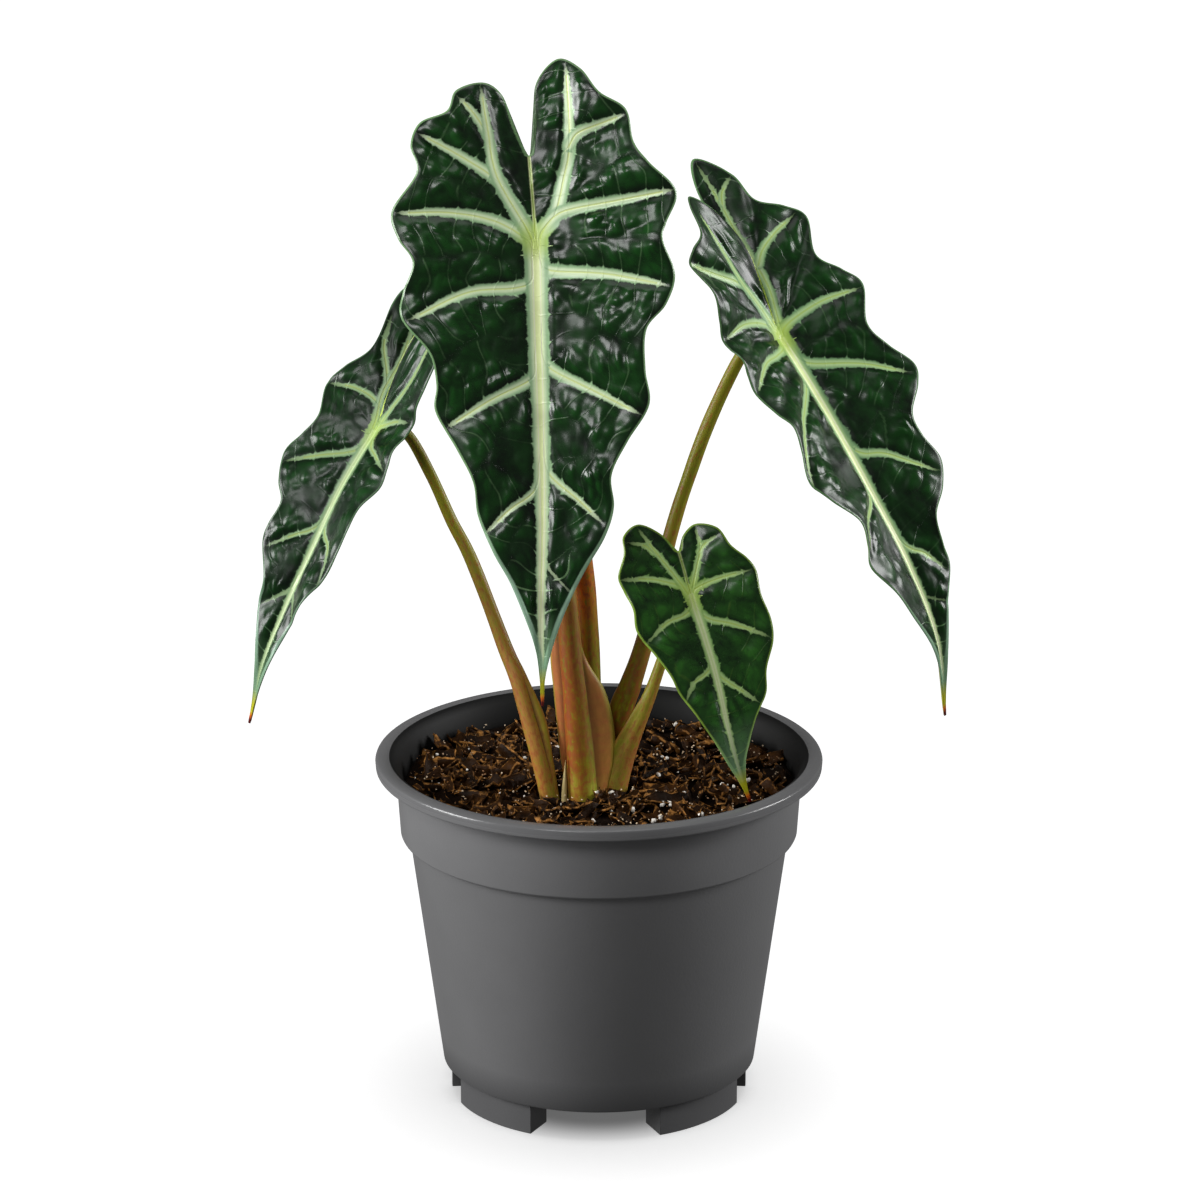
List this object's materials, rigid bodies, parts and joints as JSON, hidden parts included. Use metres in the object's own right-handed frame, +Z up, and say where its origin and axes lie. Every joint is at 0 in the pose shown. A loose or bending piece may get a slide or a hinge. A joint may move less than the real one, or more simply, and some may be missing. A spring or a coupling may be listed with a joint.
{
  "type": "potted alocasia polly plant",
  "caption": "Potted arrowhead-leaved aroid: dark wavy blades with pale veins on mottled stems, in a dark plastic grow pot filled with bark soil.",
  "frame": {"origin": "centre of the pot's feet, on the surface it stands on", "axes": "+Z up, the plant's front towards -Y, +X to its right as seen from the front"},
  "size_m": [0.2552, 0.165, 0.3916],
  "materials": {
    "pot": "satin",
    "soil": "matte",
    "corm": "matte",
    "stem": "satin",
    "leaf": "gloss"
  },
  "bodies": {
    "root": {"pot": "pot", "soil": "soil", "corm": "corm", "stem_main": "stem", "stem_right": "stem", "stem_left": "stem", "stem_small": "stem", "stem_back": "stem", "leaf_main": "leaf", "leaf_right": "leaf", "leaf_left": "leaf", "leaf_small": "leaf"}
  },
  "joints": []
}
